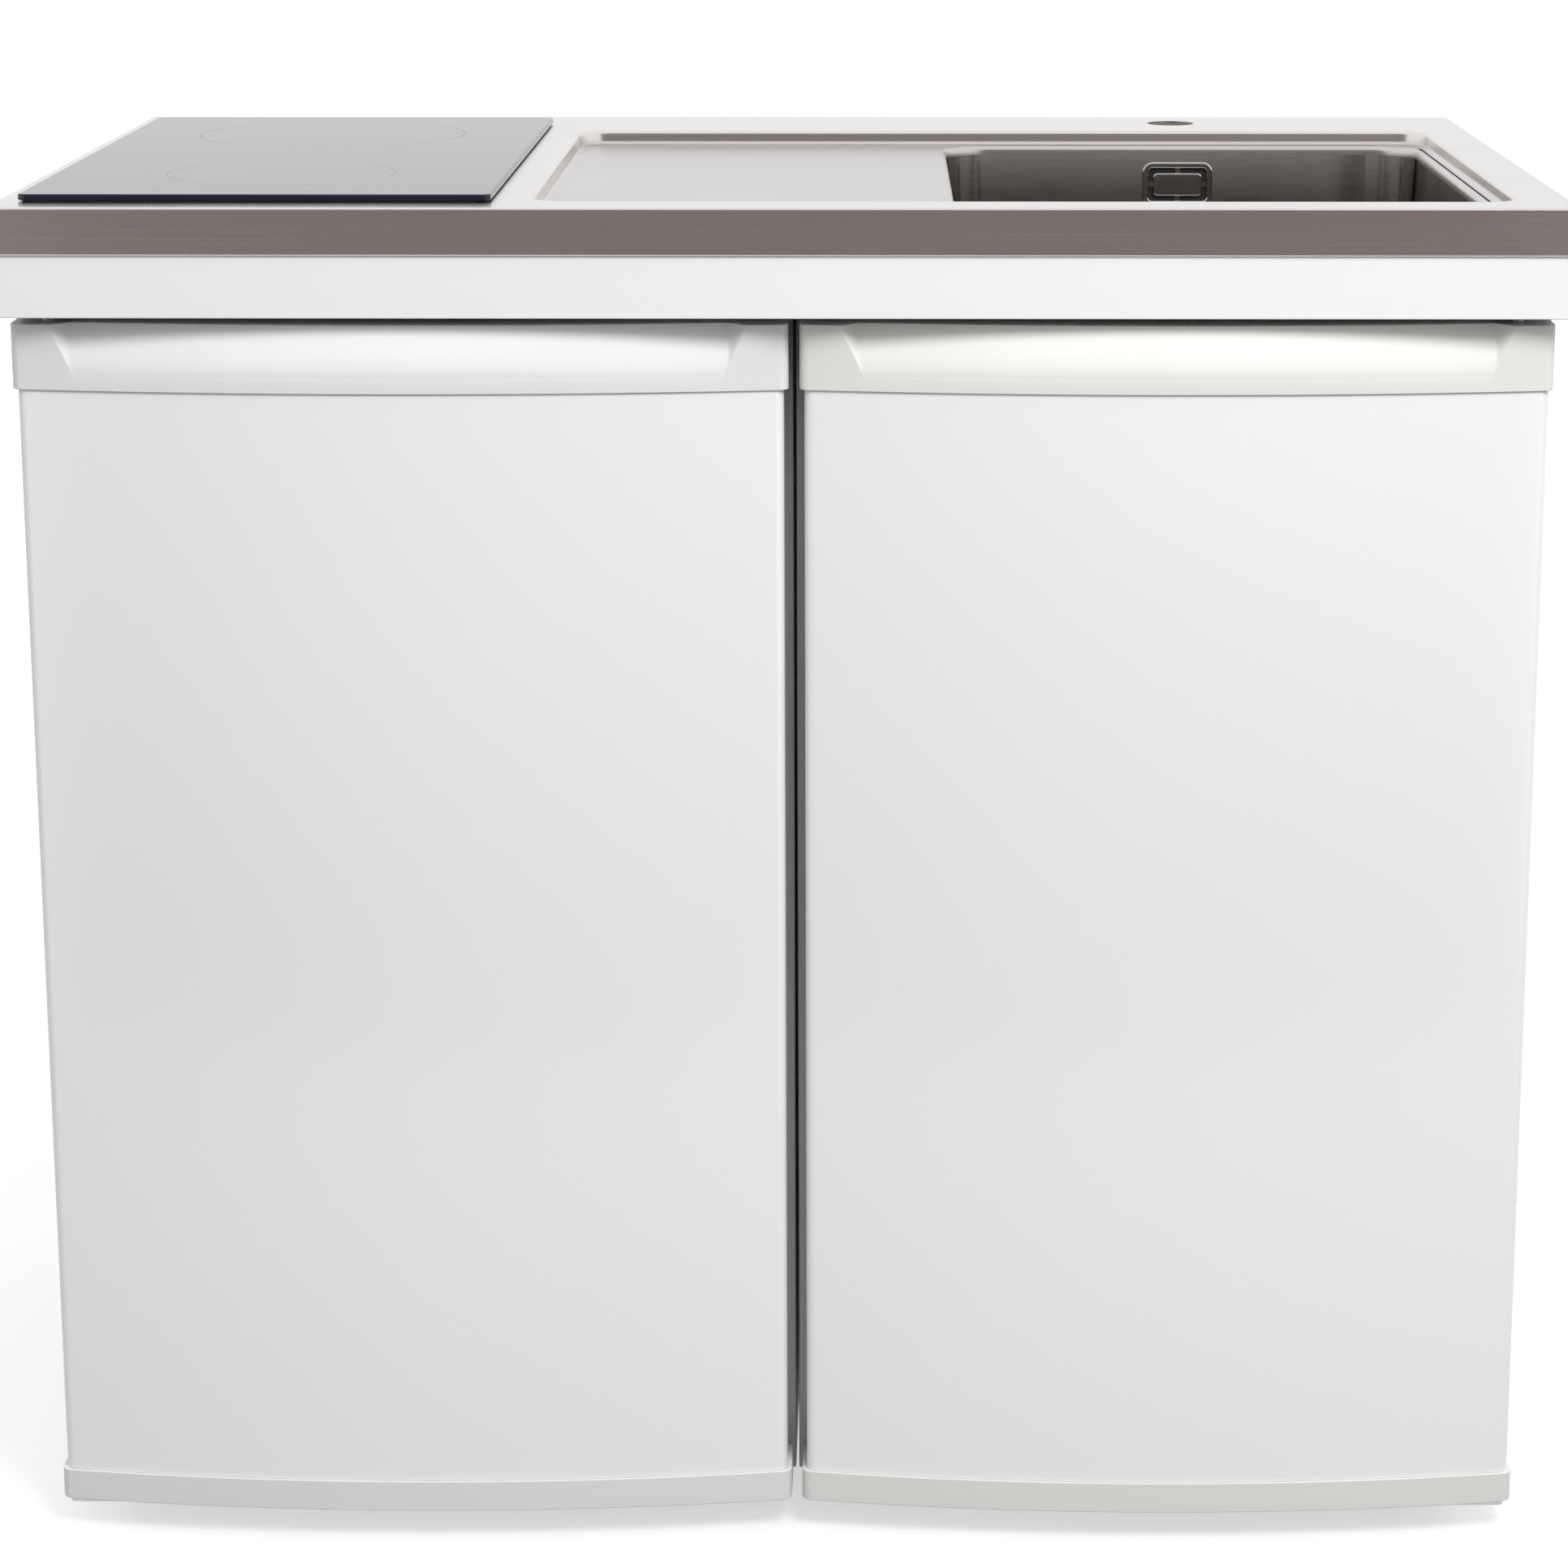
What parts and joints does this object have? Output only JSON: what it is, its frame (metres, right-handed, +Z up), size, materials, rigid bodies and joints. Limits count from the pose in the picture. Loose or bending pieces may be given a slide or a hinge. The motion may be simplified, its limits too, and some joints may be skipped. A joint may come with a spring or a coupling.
{
  "type": "kitchenette unit",
  "caption": "Metal kitchenette: steel worktop with glass hob, sunk drainer and bowl on a frame over a small refrigerator and a sink cupboard with bowed doors.",
  "frame": {"origin": "on the floor under the middle of the worktop", "axes": "+X to the right along the worktop, +Y from the doors to the wall, +Z up"},
  "size_m": [1, 0.6, 0.905],
  "materials": {
    "brushed_steel": "fine brushed grain along the worktop, satin",
    "bowl_steel": "satin, deep drawn",
    "polished_steel": "polished",
    "board": "raw chipboard",
    "white_coat": "smooth powder coat, semi-gloss",
    "door_coat": "smooth enamel, semi-gloss",
    "trim_white": "moulded, satin gloss",
    "trim_warm": "moulded, satin gloss, faintly yellowed",
    "liner_plastic": "vacuum-formed, glossy",
    "knob_plastic": "moulded",
    "clear_plastic": "clear moulded",
    "white_pipe": "moulded pipe, matt",
    "black_plastic": "matt",
    "foot_plastic": "matt",
    "seal_grey": "soft matt",
    "black_rubber": "matt",
    "hob_glass": "black glass ceramic, polished",
    "shelf_glass": "clear toughened glass",
    "zinc_steel": "zinc plated",
    "icebox_aluminium": "satin",
    "mineral_fibre": "pressed mineral fibre",
    "black_steel": "black enamel"
  },
  "bodies": {
    "carcass": {"worktop": "brushed_steel", "sink_bowl": "bowl_steel", "worktop_core": "board", "worktop_frame": "white_coat", "overflow_plate": "polished_steel", "overflow_box": "white_pipe", "overflow_pipe": "white_pipe", "waste_flange": "polished_steel", "waste_body": "white_pipe", "trap_nut": "white_pipe", "trap_body": "white_pipe", "trap_cup": "white_pipe", "trap_outlet": "white_pipe", "hob_glass": "hob_glass", "hob_seal": "black_rubber", "hob_casing": "zinc_steel", "heater_front": "mineral_fibre", "heater_rear": "mineral_fibre", "hob_touch_board": "black_plastic", "hob_terminal_box": "black_plastic", "hob_clamp_front": "zinc_steel", "hob_clamp_rear": "zinc_steel", "fridge_cabinet": "white_coat", "fridge_liner": "liner_plastic", "icebox": "icebox_aluminium", "shelf_lower": "shelf_glass", "shelf_upper": "shelf_glass", "crisper_cover": "shelf_glass", "thermostat_housing": "liner_plastic", "compressor": "black_steel", "condenser_grid": "black_steel", "drip_tray": "black_plastic", "fridge_foot_left": "foot_plastic", "fridge_foot_right": "foot_plastic", "cupboard_shell": "white_coat", "cupboard_bottom": "white_coat", "cupboard_foot_front_left": "foot_plastic", "cupboard_foot_front_right": "foot_plastic", "cupboard_foot_rear_left": "foot_plastic", "cupboard_foot_rear_right": "foot_plastic", "fridge_hinge_bottom": "zinc_steel", "fridge_hinge_top": "zinc_steel", "cupboard_hinge_bottom": "zinc_steel", "cupboard_hinge_top": "zinc_steel"},
    "fridge_door": {"fridge_door_panel": "door_coat", "fridge_door_top_trim": "trim_white", "fridge_door_bottom_trim": "trim_white", "fridge_door_liner": "liner_plastic", "fridge_door_gasket": "seal_grey", "door_rack_lower": "clear_plastic", "door_rack_upper": "clear_plastic"},
    "cupboard_door": {"cupboard_door_panel": "door_coat", "cupboard_door_top_trim": "trim_warm", "cupboard_door_bottom_trim": "trim_warm", "cupboard_door_liner": "white_coat", "cupboard_door_gasket": "seal_grey"},
    "icebox_flap": {"icebox_flap": "clear_plastic"},
    "crisper_drawer": {"crisper_drawer": "clear_plastic"},
    "thermostat_knob": {"thermostat_knob": "knob_plastic"},
    "strainer_basket": {"strainer_basket": "polished_steel"}
  },
  "joints": [
    {"name": "fridge_door_hinge", "type": "hinge", "parent": "carcass", "child": "fridge_door", "pos_m": [-0.469, -0.262, 0.42], "axis": [0, 0, -1], "range_deg": [0, 110]},
    {"name": "cupboard_door_hinge", "type": "hinge", "parent": "carcass", "child": "cupboard_door", "pos_m": [0.467, -0.262, 0.42], "axis": [0, 0, 1], "range_deg": [0, 110]},
    {"name": "icebox_flap_hinge", "type": "hinge", "parent": "carcass", "child": "icebox_flap", "pos_m": [-0.245, -0.105, 0.774], "axis": [-1, 0, 0], "range_deg": [0, 80]},
    {"name": "crisper_slide", "type": "slide", "parent": "carcass", "child": "crisper_drawer", "axis": [0, -1, 0], "range_m": [0, 0.06]},
    {"name": "thermostat_turn", "type": "hinge", "parent": "carcass", "child": "thermostat_knob", "pos_m": [-0.054, -0.1053, 0.6], "axis": [0, -1, 0], "range_deg": [0, 300]},
    {"name": "strainer_lift", "type": "slide", "parent": "carcass", "child": "strainer_basket", "axis": [0, 0, 1], "range_m": [0, 0.06]}
  ]
}
